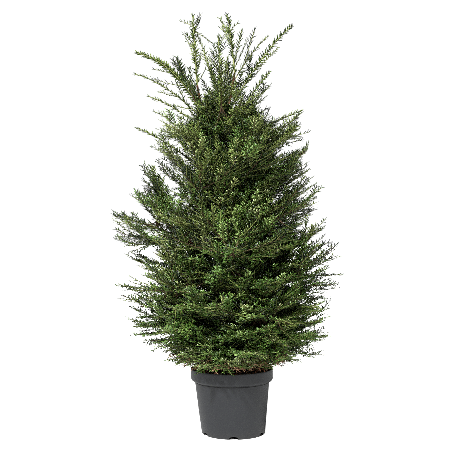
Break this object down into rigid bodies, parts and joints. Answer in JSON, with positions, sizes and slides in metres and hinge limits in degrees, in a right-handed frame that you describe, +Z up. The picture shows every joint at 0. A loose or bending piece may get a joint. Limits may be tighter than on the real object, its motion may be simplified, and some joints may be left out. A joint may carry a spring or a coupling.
{
  "type": "potted yew",
  "caption": "Conical evergreen yew with dense needle sprays and long shoots at its top, in a round tapered nursery pot with a broad rim and drainage notches.",
  "frame": {"origin": "centre of the pot's flat underside", "axes": "+Z up along the pot, +X to the right of the front view, -Y towards the viewer of the front view"},
  "size_m": [0.7774, 0.7588, 1.424],
  "materials": {
    "pot_plastic": "satin, moulded, slightly scuffed",
    "compost": "loose, matt, with bark chips and dry needles",
    "bark": "thin flaking bark",
    "needles": "leathery, glossy above and paler below"
  },
  "bodies": {
    "root": {"bough_01": "bark", "bough_02": "bark", "bough_03": "bark", "bough_04": "bark", "bough_05": "bark", "bough_06": "bark", "bough_07": "bark", "bough_08": "bark", "bough_09": "bark", "bough_10": "bark", "bough_11": "bark", "bough_12": "bark", "compost": "compost", "foliage_01": "needles", "foliage_02": "needles", "foliage_03": "needles", "foliage_04": "needles", "foliage_05": "needles", "foliage_06": "needles", "foliage_07": "needles", "foliage_08": "needles", "foliage_09": "needles", "foliage_10": "needles", "foliage_11": "needles", "foliage_12": "needles", "foliage_13": "needles", "foliage_14": "needles", "foliage_15": "needles", "foliage_16": "needles", "foliage_17": "needles", "foliage_18": "needles", "foliage_19": "needles", "foliage_20": "needles", "foliage_21": "needles", "foliage_22": "needles", "foliage_23": "needles", "foliage_24": "needles", "leader_left": "bark", "leader_right": "bark", "pot": "pot_plastic", "shoot_back": "needles", "shoot_front": "needles", "shoot_left_high": "needles", "shoot_left_low": "needles", "shoot_left_middle": "needles", "shoot_left_steep": "needles", "shoot_left_wide": "needles", "shoot_middle_left": "needles", "shoot_right_high": "needles", "shoot_right_long": "needles", "shoot_right_middle": "needles", "shoot_right_wide": "needles", "tip_left": "needles", "tip_middle": "needles", "tip_right": "needles", "trunk": "bark"}
  },
  "joints": []
}
